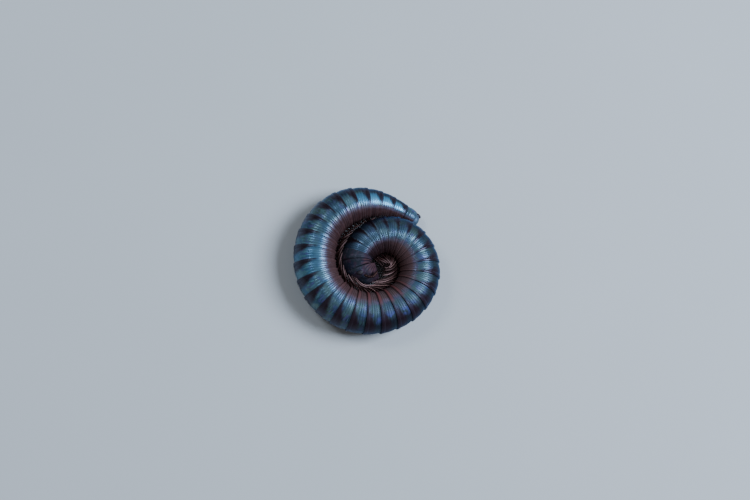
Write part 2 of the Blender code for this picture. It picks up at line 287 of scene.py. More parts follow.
def closed_grid(rows, cols):
    """Faces of a tube of rows by cols points with a pole at each end, stored after the grid."""
    index = np.arange(rows * cols).reshape(rows, cols)
    after = np.roll(index, -1, axis=1)
    quads = np.stack([index[:-1], after[:-1], after[1:], index[1:]], -1).reshape(-1, 4)
    first = np.full(cols, rows * cols)
    last = first + 1
    tris = np.concatenate([np.stack([first, after[0], index[0]], -1),
                           np.stack([last, index[-1], after[-1]], -1)])
    return quads, tris


class Skin:
    """Collects closed tubes and turns them into one object with named point values."""

    def __init__(self, *values):
        self.points = []
        self.quads = []
        self.tris = []
        self.values = {name: [] for name in values}
        self.count = 0

    def add(self, grid, **values):
        """Add a tube given as an array of rows, columns and x, y, z, closed by a point at each end,
        with its faces turned outward: they are flipped where the volume comes out negative."""
        rows, cols = grid.shape[:2]
        flat = grid.reshape(-1, 3)
        poles = np.stack([grid[0].mean(0), grid[-1].mean(0)])
        quads, tris = closed_grid(rows, cols)
        points = np.concatenate([flat, poles])
        corner = points[quads]
        volume = np.einsum("ij,ij->", corner[:, 0], np.cross(corner[:, 1], corner[:, 2]))
        volume += np.einsum("ij,ij->", corner[:, 0], np.cross(corner[:, 2], corner[:, 3]))
        side = points[tris]
        volume += np.einsum("ij,ij->", side[:, 0], np.cross(side[:, 1], side[:, 2]))
        if volume < 0.0:
            quads = quads[:, ::-1]
            tris = tris[:, ::-1]
        self.points.append(points)
        self.quads.append(quads + self.count)
        self.tris.append(tris + self.count)
        self.count += len(points)
        for name, store in self.values.items():
            value = np.broadcast_to(np.asarray(values.get(name, 0.0), float), (rows, cols))
            ends = [value[0].mean(), value[-1].mean()]
            store.append(np.concatenate([value.ravel(), ends]))

    def build(self, name, material, slot, *nodes):
        """Make the object, give it its material and tell the frame what it stands for."""
        points = np.concatenate(self.points)
        quads = np.concatenate(self.quads)
        tris = np.concatenate(self.tris)
        mesh = bpy.data.meshes.new(name)
        mesh.vertices.add(len(points))
        mesh.vertices.foreach_set("co", points.ravel())
        loops = np.concatenate([quads.ravel(), tris.ravel()])
        mesh.loops.add(len(loops))
        mesh.loops.foreach_set("vertex_index", loops.astype(np.int32))
        sizes = np.concatenate([np.full(len(quads), 4), np.full(len(tris), 3)])
        starts = np.concatenate([[0], np.cumsum(sizes)[:-1]])
        mesh.polygons.add(len(sizes))
        mesh.polygons.foreach_set("loop_start", starts.astype(np.int32))
        mesh.polygons.foreach_set("use_smooth", np.ones(len(sizes), bool))
        for key, store in self.values.items():
            layer = mesh.attributes.new(key, "FLOAT", "POINT")
            layer.data.foreach_set("value", np.concatenate(store).astype(np.float32))
        mesh.update(calc_edges=True)
        mesh.validate()
        piece = bpy.data.objects.new(name, mesh)
        bpy.context.scene.collection.objects.link(piece)
        piece.data.materials.append(material)
        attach(piece, "root")
        if nodes:
            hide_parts(*nodes)
        return piece


def tube_grid(route, radius, sides):
    """A round tube: at each point of the route a circle, square to the route's own direction."""
    along = np.gradient(route, axis=0)
    along /= np.linalg.norm(along, axis=1, keepdims=True)
    first = np.cross(along, np.array([0.13, 0.21, 0.97]))
    first /= np.linalg.norm(first, axis=1, keepdims=True)
    second = np.cross(along, first)
    angle = (2.0 * np.pi * np.arange(sides) / sides)[None, :, None]
    circle = first[:, None] * np.cos(angle) + second[:, None] * np.sin(angle)
    return route[:, None] + circle * np.asarray(radius)[:, None, None]


def section_angles():
    """Angles around the body from the middle of the back, up to half a turn to either side."""
    angle = 2.0 * np.pi * (np.arange(AROUND) + 0.5) / AROUND
    return np.where(angle > np.pi, angle - 2.0 * np.pi, angle)


def section_grid(middle, ahead, radius, angle, belly):
    """Sections square to the centre line: radius times (cos, sin) of the angle, with the cosine
    scaled down on the belly side, and nothing below the floor."""
    across = radius * np.cos(angle)
    across = np.where(across < 0.0, across * belly, across)
    grid = middle[:, None] + outward(ahead)[..., None, :] * across[..., None]
    grid[..., 2] = np.maximum(grid[..., 2] + radius * np.sin(angle), 0.0)
    return grid


# Node helpers

class Tree:
    """Short calls for building a node tree from left to right."""

    def __init__(self, tree):
        self.nodes = tree.nodes
        self.links = tree.links

    def add(self, kind, inputs=None, **settings):
        node = self.nodes.new(kind)
        for key, value in settings.items():
            setattr(node, key, value)
        for key, value in (inputs or {}).items():
            self.feed(node.inputs[key], value)
        return node

    def feed(self, socket, value):
        if isinstance(value, bpy.types.NodeSocket):
            self.links.new(value, socket)
        elif isinstance(value, tuple) and len(value) == 3 and socket.type == "RGBA":
            socket.default_value = (*value, 1.0)
        else:
            socket.default_value = value

    def math(self, operation, first, second=0.0, clamp=False):
        node = self.add("ShaderNodeMath", {0: first, 1: second}, operation=operation)
        node.use_clamp = clamp
        return node.outputs[0]

    def plus(self, first, second):
        return self.math("ADD", first, second)

    def times(self, first, second, *more):
        """Product of two or more values."""
        product = self.math("MULTIPLY", first, second)
        for factor in more:
            product = self.math("MULTIPLY", product, factor)
        return product

    def ramp(self, value, low, high, start=0.0, end=1.0):
        """Map a value from low..high to start..end with a smooth step."""
        node = self.add("ShaderNodeMapRange", {"Value": value, "From Min": low, "From Max": high,
                                               "To Min": start, "To Max": end},
                        interpolation_type="SMOOTHSTEP")
        return node.outputs[0]

    def mix(self, factor, first, second):
        """The first colour where the factor is 0, the second where it is 1."""
        node = self.add("ShaderNodeMix", data_type="RGBA")
        self.feed(node.inputs["Factor"], factor)
        self.feed(node.inputs["A"], first)
        self.feed(node.inputs["B"], second)
        return node.outputs["Result"]

    def value(self, name):
        """A value that the piece stores at each point."""
        return self.add("ShaderNodeAttribute", attribute_name=name).outputs["Fac"]

    def noise(self, vector, scale, detail=3.0, rough=0.5):
        node = self.add("ShaderNodeTexNoise", {"Vector": vector, "Scale": scale, "Detail": detail,
                                               "Roughness": rough})
        return node.outputs["Fac"]

    def place(self):
        """The point's place in the object's own coordinates, in metres."""
        return self.add("ShaderNodeTexCoord").outputs["Object"]


def new_group(name, sockets_in, sockets_out):
    """An empty node group with its named inputs and outputs."""
    group = bpy.data.node_groups.new(name, "ShaderNodeTree")
    for label, kind, default in sockets_in:
        socket = group.interface.new_socket(label, in_out="INPUT", socket_type=kind)
        if default is not None:
            socket.default_value = default
    for label, kind in sockets_out:
        group.interface.new_socket(label, in_out="OUTPUT", socket_type=kind)
    tree = Tree(group)
    return group, tree, tree.add("NodeGroupInput").outputs, tree.add("NodeGroupOutput").inputs


def grain_group():
    """Skin relief: fine pits and soft dents, as one height value, and soft spots."""
    group, tree, given, out = new_group(
        "cuticle_grain", [("Vector", "NodeSocketVector", None), ("Size", "NodeSocketFloat", 1.0)],
        [("Height", "NodeSocketFloat"), ("Spots", "NodeSocketFloat")])
    fine = tree.noise(given["Vector"], tree.times(given["Size"], 5200.0), 4.0, 0.6)
    soft = tree.noise(given["Vector"], tree.times(given["Size"], 900.0), 2.0)
    cells = tree.add("ShaderNodeTexVoronoi", {"Vector": given["Vector"],
                                              "Scale": tree.times(given["Size"], 3600.0)})
    pits = tree.ramp(cells.outputs["Distance"], 0.0, 0.45)
    height = tree.plus(tree.times(fine, 0.45), tree.times(soft, 0.8))
    tree.feed(out["Height"], tree.plus(height, tree.times(pits, 0.35)))
    tree.feed(out["Spots"], tree.ramp(soft, 0.35, 0.68))
    return group


def sheen_group():
    """Blue, green and violet drift over dark shell, in patches a few millimetres wide, shifted
    from ring to ring by the seed."""
    group, tree, given, out = new_group(
        "shell_sheen", [("Vector", "NodeSocketVector", None), ("Seed", "NodeSocketFloat", 0.0),
                        ("Blue", "NodeSocketColor", None), ("Green", "NodeSocketColor", None),
                        ("Violet", "NodeSocketColor", None)],
        [("Color", "NodeSocketColor")])
    moved = tree.add("ShaderNodeCombineXYZ", {"X": tree.times(given["Seed"], 0.9),
                                              "Y": tree.times(given["Seed"], 0.4)})
    shift = tree.add("ShaderNodeVectorMath", {0: given["Vector"], 1: moved.outputs[0]},
                     operation="ADD")
    first = tree.ramp(tree.noise(shift.outputs[0], 420.0, 2.0), 0.42, 0.58)
    second = tree.ramp(tree.noise(shift.outputs[0], 690.0, 2.0), 0.50, 0.72)
    color = tree.mix(first, given["Blue"], given["Green"])
    tree.feed(out["Color"], tree.mix(tree.times(second, 0.85), color, given["Violet"]))
    return group


GRAIN = grain_group()
SHEEN = sheen_group()


def new_material(name):
    """A material with its Principled shader, ready for its own nodes."""
    material = bpy.data.materials.new(name)
    material.use_nodes = True
    tree = Tree(material.node_tree)
    return material, tree, material.node_tree.nodes["Principled BSDF"]


def use(tree, group, **inputs):
    """Add a node group, feed its inputs and give back its outputs."""
    node = tree.add("ShaderNodeGroup", node_tree=group)
    for key, value in inputs.items():
        tree.feed(node.inputs[key], value)
    return node.outputs


def between(tree, value, low, low_full, high_full, high):
    """A mask: 0 outside low and high, 1 between the two full points."""
    return tree.times(tree.ramp(value, low, low_full), tree.ramp(value, high, high_full))


def slate_back(tree, place, at, patches):
    """Slate blue of the back and side: the sheen, with a painted highlight of paler slate toward the
    side; dull with painted shade at the coil's bottom; painted light in teal on the left; a painted
    highlight in teal on the tail's flank; painted shade near black along the ridge; plainer in front."""
    back, dull = at["back"], at["dull"]
    shell = use(tree, SHEEN, Vector=place, Seed=at["seed"], Blue=SHEEN_BLUE, Green=SHEEN_GREEN,
                Violet=SHEEN_VIOLET)["Color"]
    # A painted highlight: paler slate along the side, weaker on the rings at the coil's bottom
    painted_shine = tree.ramp(tree.plus(back, tree.times(patches, 0.06)), 0.24, 0.44)
    painted_shine = tree.times(painted_shine, tree.ramp(dull, 0.0, 1.0, 0.48, 0.08))
    shell = tree.mix(painted_shine, shell, PAINTED_SHINE_SLATE)
    # Painted shade: a dark dull slate over the rings at the coil's bottom
    shell = tree.mix(tree.times(dull, 0.78), shell, PAINTED_SHADE_SLATE)
    # Painted light: teal over the rings lit on the left
    shell = tree.mix(tree.times(at["lit"], 0.5), shell, LIT_TEAL)
    # A painted highlight in bright teal on the flank of the tail's rings
    flank_highlight = tree.times(between(tree, back, 0.27, 0.36, 0.48, 0.58), at["tail"], 0.88)
    shell = tree.mix(flank_highlight, shell, FLANK_PAINTED_HIGHLIGHT)
    # Painted shade, near black, along the outer ridge wherever the ring's shade value is set
    ridge_shade = tree.times(at["shade"], tree.ramp(back, 0.45, 0.22))
    shell = tree.mix(tree.times(ridge_shade, 0.88), shell, RIDGE_PAINTED_SHADE)
    return tree.mix(at["dark"], shell, FRONT_SLATE), ridge_shade


def glints(tree, place, at, shell):
    """Painted glints: blue painted highlights on the dull rings, and where the ridge isn't shaded, on
    the left of the coil and on the tail's end, a row of short teal and violet painted highlights."""
    hind, back, seed = at["hind"], at["back"], at["seed"]
    spots = tree.ramp(tree.noise(place, 520.0, 1.0), 0.53, 0.62)
    glint = tree.times(between(tree, back, 0.22, 0.33, 0.36, 0.46), spots, at["dull"])
    shell = tree.mix(tree.times(glint, 0.7), shell, GLINT_BLUE)
    cell = tree.add("ShaderNodeCombineXYZ", {"X": tree.times(hind, 8.0), "Y": tree.times(back, 7.0),
                                             "Z": tree.times(seed, 40.0)})
    dashes = tree.noise(cell.outputs[0], 1.0, 1.0)
    row = tree.times(between(tree, back, 0.19, 0.25, 0.31, 0.39),
                     tree.math("SUBTRACT", 1.0, at["shade"]))
    teal_glints = tree.times(row, tree.ramp(dashes, 0.53, 0.60), 0.8)
    violet_glints = tree.times(row, tree.ramp(dashes, 0.42, 0.34), 0.8)
    return tree.mix(violet_glints, tree.mix(teal_glints, shell, DASH_TEAL_GLINT), DASH_VIOLET_GLINT)


def hind_band(tree, at, patches, wobble, shell):
    """The dark band on a ring's hind edge: over half the ring on the back, nothing on the side,
    with a pale broken line of painted highlight along the very edge on the rings near the head."""
    hind, back, dark = at["hind"], at["back"], at["dark"]
    below_back = tree.math("SUBTRACT", back, at["hood"])
    reach = tree.ramp(below_back, 0.10, 0.55, 0.56, 0.02)
    edge = tree.math("SUBTRACT", tree.plus(reach, wobble), hind)
    band = tree.times(tree.ramp(edge, -0.17, 0.12), tree.ramp(below_back, 0.56, 0.44), 0.94)
    shell = tree.mix(band, shell, BAND_MAROON)
    # A painted highlight where the hind rim's edge catches the light
    crest_highlight = tree.times(between(tree, hind, 0.00, 0.03, 0.05, 0.12),
                       tree.math("MULTIPLY", dark, 1.3, clamp=True),
                       tree.ramp(patches, 0.38, 0.54), tree.ramp(back, 0.16, 0.34))
    return tree.mix(crest_highlight, shell, CREST_HIGHLIGHT)


def brown_belly(tree, at, grain, patches, below, shell):
    """Brown of the belly side, tan or sandy on some rings, a violet blush where it meets the
    blue, redder cross grooves, and a rust stripe along the hind edge of the rusty rings."""
    hind, back, rust = at["hind"], at["back"], at["rust"]
    brown = tree.mix(grain["Spots"], BELLY_DARK, BELLY_BROWN)
    brown = tree.mix(at["tan"], brown, BELLY_TAN)
    brown = tree.mix(tree.times(rust, 0.6), brown, BELLY_SAND)
    brown = tree.mix(tree.math("MULTIPLY", at["dark"], 1.2, clamp=True), brown, BELLY_SHADE)
    shell = tree.mix(below, shell, brown)
    blush = tree.times(between(tree, back, 0.54, 0.60, 0.61, 0.68),
                       tree.ramp(patches, 0.40, 0.60, 0.25, 0.7))
    shell = tree.mix(blush, shell, BLUSH)
    striae = tree.times(at["groove"], tree.ramp(back, 0.54, 0.64), 0.55)
    shell = tree.mix(striae, shell, GROOVE_RED)
    stripe = tree.times(tree.ramp(hind, 0.40, 0.16), tree.ramp(back, 0.50, 0.62), rust)
    return tree.mix(stripe, shell, STRIPE_RUST)


def ring_material():
    """Shell of the rings: slate blue on the back and side, brown toward the belly, and a dark
    band on each hind edge, widest on the back, with a satin gloss and fine lines round it. Painted
    highlights and glints lie on the side, and painted shade on the ridge, at the coil's bottom, in
    each seam and on each folded lip."""
    material, tree, shader = new_material("ring_shell")
    place = tree.place()
    at = {name: tree.value(name) for name in RING_VALUES}
    hind, back, dull = at["hind"], at["back"], at["dull"]
    grain = use(tree, GRAIN, Vector=place, Size=1.0)
    patches = tree.noise(place, 1300.0, 3.0)
    wobble = tree.times(tree.math("SUBTRACT", patches, 0.5), 0.22)
    below = tree.ramp(tree.plus(back, tree.times(wobble, 0.4)), 0.575, 0.66)

    shell, ridge_shade = slate_back(tree, place, at, patches)
    shell = glints(tree, place, at, shell)
    shell = hind_band(tree, at, patches, wobble, shell)
    shell = brown_belly(tree, at, grain, patches, below, shell)
    # Painted shade in the seam where the ring's front slips under the next rim, weaker at the coil's
    # bottom
    crease = tree.times(tree.ramp(hind, 0.965, 1.02), tree.ramp(dull, 0.0, 1.0, 0.7, 0.3))
    shell = tree.mix(crease, shell, SEAM_PAINTED_SHADE)
    # Painted shade on the lip folded in under the hind rim
    lip_shade = tree.times(tree.ramp(hind, 0.012, -0.004), 0.8)
    tree.feed(shader.inputs["Base Color"], tree.mix(lip_shade, shell, LIP_PAINTED_SHADE))

    rough = tree.plus(0.25, tree.times(grain["Spots"], 0.12))
    rough = tree.plus(rough, tree.times(below, 0.10))
    tree.feed(shader.inputs["Roughness"], tree.plus(rough, tree.times(dull, 0.26)))
    metal = tree.times(tree.math("SUBTRACT", 1.0, below), 0.40,
                       tree.ramp(dull, 0.0, 1.0, 1.0, 0.45))
    metal = tree.math("MAXIMUM", metal, tree.times(ridge_shade, 0.75))
    tree.feed(shader.inputs["Metallic"], metal)
    shader.inputs["Specular IOR Level"].default_value = 0.45
    shader.inputs["Specular Tint"].default_value = SHINE_TINT
    lines = tree.math("SINE", tree.times(hind, 150.0))
    height = tree.plus(grain["Height"], tree.times(lines, 0.012))
    node = tree.add("ShaderNodeBump", {"Height": height, "Strength": 0.35, "Distance": 0.00004})
    tree.feed(shader.inputs["Normal"], node.outputs[0])
    shader.inputs["Coat Weight"].default_value = 0.06
    shader.inputs["Coat Roughness"].default_value = 0.15
    return material


def head_material():
    """Shell of the collum and the head: dark violet blue with soft flecks of painted highlight,
    browner toward the mouth and the belly, a reddish painted highlight on the crests of the fan of
    ridges, dark seams with painted shade in the tucks and the collum's groove, nearly matt."""
    material, tree, shader = new_material("head_shell")
    place = tree.place()
    low = tree.value("low")
    grain = use(tree, GRAIN, Vector=place, Size=1.25)
    shell = use(tree, SHEEN, Vector=place, Seed=tree.value("seed"), Blue=HEAD_BLUE,
                Green=HEAD_SLATE, Violet=HEAD_VIOLET)["Color"]
    # Soft flecks of painted highlight
    fleck_highlights = tree.ramp(tree.noise(place, 1900.0, 2.0), 0.50, 0.74)
    shell = tree.mix(tree.times(fleck_highlights, 0.55), shell, HEAD_FLECK_HIGHLIGHT)
    brown = tree.mix(grain["Spots"], MOUTH_DARK, MOUTH_BROWN)
    shell = tree.mix(tree.ramp(low, 0.30, 0.95), shell, brown)
    # A reddish painted highlight on the crests of the fan of ridges
    shell = tree.mix(tree.times(tree.value("fan"), 0.9), shell, FAN_PAINTED_HIGHLIGHT)
    # Dark seams on the face, and painted shade on the collum's tucked ends and its groove
    shell = tree.mix(tree.times(tree.value("crease"), 0.8), shell, HEAD_SEAM_AND_SHADE)
    tree.feed(shader.inputs["Base Color"], shell)
    tree.feed(shader.inputs["Roughness"], tree.plus(0.44, tree.times(grain["Spots"], 0.16)))
    tree.feed(shader.inputs["Metallic"], tree.ramp(low, 0.6, 0.2, 0.0, 0.15))
    node = tree.add("ShaderNodeBump", {"Height": grain["Height"], "Strength": 0.35,
                                       "Distance": 0.00004})
    tree.feed(shader.inputs["Normal"], node.outputs[0])
    shader.inputs["Specular IOR Level"].default_value = 0.11
    shader.inputs["Specular Tint"].default_value = HEAD_TINT
    return material


def limb_material():
    """Legs and feelers: brown, darkest at the root with painted shade, pinkish toward the end with
    a dark claw, and painted shade, nearly black on the lower pairs of legs and on the claws, half as
    strong on the feelers."""
    material, tree, shader = new_material("limb_shell")
    place = tree.place()
    along, deep = tree.value("along"), tree.value("deep")
    grain = use(tree, GRAIN, Vector=place, Size=1.6)
    shell = tree.mix(grain["Spots"], LIMB_DARK, LIMB_BROWN)
    # Painted shade at the root, where the leg leaves the belly
    shell = tree.mix(tree.ramp(along, 0.55, 0.15), shell, LIMB_ROOT_SHADE)
    shell = tree.mix(tree.times(tree.value("joint"), 0.12), shell, LIMB_JOINT)
    shell = tree.mix(tree.ramp(along, 0.40, 0.85, 0.0, 0.8), shell, LIMB_PINK)
    shell = tree.mix(tree.ramp(along, 1.1, 1.3), shell, CLAW_BROWN)
    # Painted shade on the low pairs, the claws and the feelers
    shell = tree.mix(tree.times(deep, 0.92), shell, LIMB_SHADE)
    tree.feed(shader.inputs["Base Color"], shell)
    rough = tree.ramp(grain["Spots"], 0.0, 1.0, 0.27, 0.36)
    tree.feed(shader.inputs["Roughness"], tree.plus(rough, tree.times(deep, 0.35)))
    shader.inputs["Specular IOR Level"].default_value = 0.50
    shader.inputs["Specular Tint"].default_value = LIMB_TINT
    node = tree.add("ShaderNodeBump", {"Height": grain["Height"], "Strength": 0.2,
                                       "Distance": 0.00003})
    tree.feed(shader.inputs["Normal"], node.outputs[0])
    return material


def eye_material():
    """Lenses of the eye patch: near black with a wet gloss, brown between the lenses."""
    material, tree, shader = new_material("eye_lenses")
    place = tree.place()
    dome = tree.value("dome")
    shade = tree.mix(tree.noise(place, 2600.0, 2.0), LENS_BLACK, LENS_BLUE)
    shade = tree.mix(tree.ramp(dome, 0.5, 0.0), shade, EYE_BROWN)
    tree.feed(shader.inputs["Base Color"], shade)
    tree.feed(shader.inputs["Roughness"], tree.ramp(dome, 0.0, 1.0, 0.55, 0.34))
    shader.inputs["Specular IOR Level"].default_value = 0.3
    return material


def floor_material():
    """Plain pale floor."""
    material, tree, shader = new_material("pale_floor")
    place = tree.place()
    shade = tree.mix(tree.noise(place, 30.0, 2.0), (0.60, 0.59, 0.57), (0.63, 0.62, 0.60))
    tree.feed(shader.inputs["Base Color"], shade)
    shader.inputs["Roughness"].default_value = 0.7
    return material


# Rings

def ring_rows():
    """Rows along a ring: the lip folded in at the hind edge, then the outer face to its front.

    Each row has a place along the ring, 0 at the hind edge and 1 at the front edge, and a radius
    against the body's. The outer face is the body radius plus a rim that ends in a smooth step,
    less a fine crease beside the rim and a smooth step from the middle down to the front."""
    lip_place = np.array([0.110, 0.050, 0.012, 0.000, -0.004, 0.000, 0.010])
    lip_scale = SHELL_RIM - np.array([0.130, 0.070, 0.065, 0.058, 0.040, 0.020, 0.008])
    place = 0.022 + (1.05 - 0.022) * np.linspace(0.0, 1.0, ALONG)
    rim = (SHELL_RIM - 1.0) * (1.0 - smooth((place - 0.13) / 0.10))
    fall = (1.0 - GROOVE) * smooth((place - 0.52) / 0.52)
    outer = 1.0 + rim - fall - 0.012 * bump(place, 0.245, 0.022)
    tuck_place = np.array([1.08])
    tuck_scale = np.array([0.88])
    return (np.concatenate([lip_place, place, tuck_place]),
            np.concatenate([lip_scale, outer, tuck_scale]))


def ring_relief(place, angle, shape):
    """Relief of a ring against its radius: four fine cross grooves, deepest toward the belly,
    a slight swell around it, a pore dent on each side, and a furrow along the belly."""
    side = np.abs(angle)
    grooves = bump(((place - 0.215) / CROSS_GROOVE_STEP) % 1.0, 0.5, 0.14)
    grooves = grooves * smooth((place - 0.25) / 0.05) * smooth((1.0 - place) / 0.08)
    depth = 0.0035 + 0.0110 * smooth((side - 0.6) / 0.6) + 0.0040 * smooth((side - 1.8) / 0.4)
    relief = -depth * grooves * (0.75 + 0.5 * shape["groove"])
    relief = relief + 0.004 * np.sin(angle * 3.0 + shape["phase"]) * np.sin(place * 5.0)
    pore = bump(side, PORE_ANGLE, 0.028) * bump(place, 0.5, 0.035)
    relief = relief - 0.020 * pore * shape["pore"]
    furrow = bump(side, math.pi, 0.20) * smooth((place - 0.02) / 0.1)
    return relief - 0.045 * furrow, grooves


def ring_grid(number):
    """One ring: for each row a round section, flatter at the belly, square to the centre line."""
    hind, front = EDGES[number], EDGES[number + 1]
    place, scale = ring_rows()
    if number == RING_COUNT - 1:
        # The ring behind the collum runs on into it
        place = place + NECK_INSERT * (place > 1.0)
    turn = hind + place * (front - hind)
    angle = section_angles()
    shape = {"groove": rng.uniform(0.0, 1.0), "phase": rng.uniform(0.0, 6.28),
             "pore": 1.0 if 0 < number < RING_COUNT - 4 else 0.0}
    relief, grooves = ring_relief(place[:, None], angle[None], shape)
    outside = ((place > 0.012) & (place < 1.06)).astype(float)[:, None]
    radius = body_radius(turn)[:, None] * (scale[:, None] + relief * outside)
    grid = section_grid(centre(turn), heading(turn), radius, angle, ventral(turn)[:, None])
    return grid, place[:, None], np.abs(angle)[None] / np.pi, grooves


def ring_tones(number):
    """Colouring of one ring, each tone a bell or a smooth step of its place on the coil: rusty at
    the coil's bottom in view, and there dull with painted shade; painted light on the left, with
    painted shade on its ridge everywhere else; a teal painted highlight at the tail; most tan where
    the inner turn starts; darker toward the head, with a painted highlight on the crest. The hood
    is how far the band reaches down the side, most at the tail, the bottom and the right."""
    turn = EDGES[number]
    dull = bump(turn, 272.0, 46.0)
    hood = 0.12 * smooth((150.0 - turn) / 60.0) + 0.10 * dull + 0.09 * bump(turn, 360.0, 40.0)
    tan = (0.30 * smooth((turn - 110.0) / 80.0) + 0.40 * smooth((turn - 300.0) / 60.0)
           - 0.55 * smooth((turn - 390.0) / 50.0))
    return {"rust": 0.10 + 0.75 * bump(turn, 275.0, 42.0),
            "shade": 1.0 - bump(turn, 178.0, 50.0),
            "lit": bump(turn, 170.0, 20.0),
            "tail": smooth((116.0 - turn) / 38.0),
            "dark": 0.7 * smooth((number / RING_COUNT - 0.78) / 0.2),
            "dull": dull, "hood": hood, "tan": tan}


def ring_pieces(material):
    """Lengths of four rings each, which take the place of the solid lengths."""
    for length in range(1, RING_COUNT // RINGS_PER_LENGTH + 1):
        last = RING_COUNT - (length - 1) * RINGS_PER_LENGTH
        skin = Skin(*RING_VALUES)
        for number in range(last - RINGS_PER_LENGTH, last):
            grid, place, back, grooves = ring_grid(number)
            skin.add(grid, hind=place, back=back, groove=grooves, seed=rng.uniform(0.0, 1.0),
                     **ring_tones(number))
        skin.build(f"rings_{length}", material, "rings", f"body_{length}")


# Legs

def clear_of_inner_turn(points, turn, reach):
    """Move points out of the next turn of the coil, straight away from its centre line."""
    away = points[:, :2] - HUB
    distance = np.linalg.norm(away, axis=1)
    inner = turn + 360.0
    middle = spiral_radius(inner)
    height = centre(inner)[:, 2]
    across = distance - middle
    up = points[:, 2] - height
    there = 1.0 - smooth((inner - HEAD_END_TURN) / 25.0)
    room = body_radius(inner) * RIM * there + reach
    scale = np.maximum(room / np.hypot(across, up), 1.0)
    flat = away / distance[:, None] * (middle + across * scale)[:, None]
    return np.column_stack([HUB + flat, height + up * scale])


def clear_of_head(points, reach):
    """Move points out of the round room that the head needs."""
    middle = head_point(*HEAD_MIDDLE)
    away = points - middle
    distance = np.linalg.norm(away, axis=1, keepdims=True)
    return middle + away * np.maximum((HEAD_ROOM + reach) / distance, 1.0)


def leg_route(turn, side, high, along, stretch, wide):
    """A leg's centre line: out of the belly at once, then back toward the tail along the belly,
    slowly rising on the upper side and sinking on the lower, in the groove between two turns."""
    radius = float(body_radius(turn))
    size = 0.4 + 0.6 * radius / BODY_RADIUS
    lean = 1.0 - HUB_UPRIGHT * float(smooth((turn - 330.0) / 120.0))
    lean -= TAIL_UPRIGHT * float(smooth((165.0 - turn) / 45.0))
    curl = smooth((turn - 340.0) / 50.0) * (1.0 - 0.3 * smooth((turn - 440.0) / 40.0))
    reach = LEG_REACH + HUB_REACH * smooth((turn - 235.0) / 50.0) + CURL_REACH * curl
    out = (LEG_ROOT_DEPTH + LEG_STANDOFF) * (1.0 - (1.0 - along) ** 5)
    depth = ventral(turn) * radius - LEG_ROOT_DEPTH + out + reach * size * wide * along ** 1.3
    rise = (LEG_ROOT_RISE + (LEG_RISE * high - LEG_ROOT_RISE) * along ** 1.3) * size
    longest = smooth((turn - 270.0) / 25.0) * (1.0 - smooth((turn - 350.0) / 60.0))
    trail = (LEG_TRAIL + LONG_TRAIL * float(longest)) * size * lean * stretch * along ** 1.4
    place = turn - np.degrees(trail / np.maximum(float(spiral_radius(turn)) - depth, HUB_ROOM))
    points = centre(place) - outward(heading(place)) * depth[:, None]
    points[:, 2] += side * rise
    points = clear_of_inner_turn(points, place, LEG_RADIUS + LEG_CLEARANCE)
    points = clear_of_head(points, LEG_RADIUS)
    points[:, 2] = np.maximum(points[:, 2], LEG_FLOOR_HEIGHT)
    return points


def leg_pairs(number):
    """Where a ring's leg pairs stand, and how high each rises: the front pair of a ring is held
    low, and on every second ring the hind pair is a little lower than on the next."""
    hind, front = EDGES[number], EDGES[number + 1]
    if number == 0:
        return []
    if number >= RING_COUNT - 3:
        return [(hind + SINGLE_LEG_PLACE * (front - hind), 1.0)]
    high = 1.0 if number % 2 else LOW_RING
    return [(hind + LEG_PLACES[0] * (front - hind), high),
            (hind + LEG_PLACES[1] * (front - hind), LOW_PAIR)]


def claw_grid(route):
    """The claw at a leg's end: a short thin cone that carries on the leg's line, bent inward."""
    ahead = route[-1] - route[-2]
    ahead = ahead / np.linalg.norm(ahead)
    inward = np.array([*HUB, route[-1, 2]]) - route[-1]
    inward = inward / np.linalg.norm(inward)
    step = np.linspace(0.0, 1.0, 5)[:, None]
    points = route[-1] + CLAW_LENGTH * (ahead * (step - 0.15) + inward * 0.35 * step ** 2)
    return tube_grid(points, LEG_RADIUS * (0.36 - 0.31 * step[:, 0]), 5)


def leg_pieces(material):
    """Both rows of legs of each length: tapered tubes, slightly pinched at each of six joints."""
    along = np.linspace(0.0, 1.0, LEG_ROWS)
    joint = bump((along * LEG_JOINTS) % 1.0, 0.5, 0.16)
    for length in range(1, RING_COUNT // RINGS_PER_LENGTH + 1):
        last = RING_COUNT - (length - 1) * RINGS_PER_LENGTH
        skin = Skin("along", "joint", "deep")
        for number in range(last - RINGS_PER_LENGTH, last):
            for turn, high in leg_pairs(number):
                for side in (1.0, -1.0):
                    stretch, wide = rng.uniform(0.95, 1.04, 2)
                    route = leg_route(turn, side, high, along, stretch, wide)
                    radius = LEG_RADIUS * (1.15 - 0.50 * along - 0.42 * along ** 5) * high ** 0.4
                    radius = radius * (1.01 - 0.06 * joint) * rng.uniform(0.96, 1.04)
                    # Painted shade, strongest on the low pairs held under the others
                    deep = ((1.0 - high) / (1.0 - LOW_PAIR)) ** 0.6
                    skin.add(tube_grid(route, radius, LEG_SIDES), along=along[:, None],
                             joint=joint[:, None], deep=deep)
                    skin.add(claw_grid(route), along=1.4, deep=1.0)
        skin.build(f"legs_{length}", material, "limbs")


# Collum, head, eyes and feelers

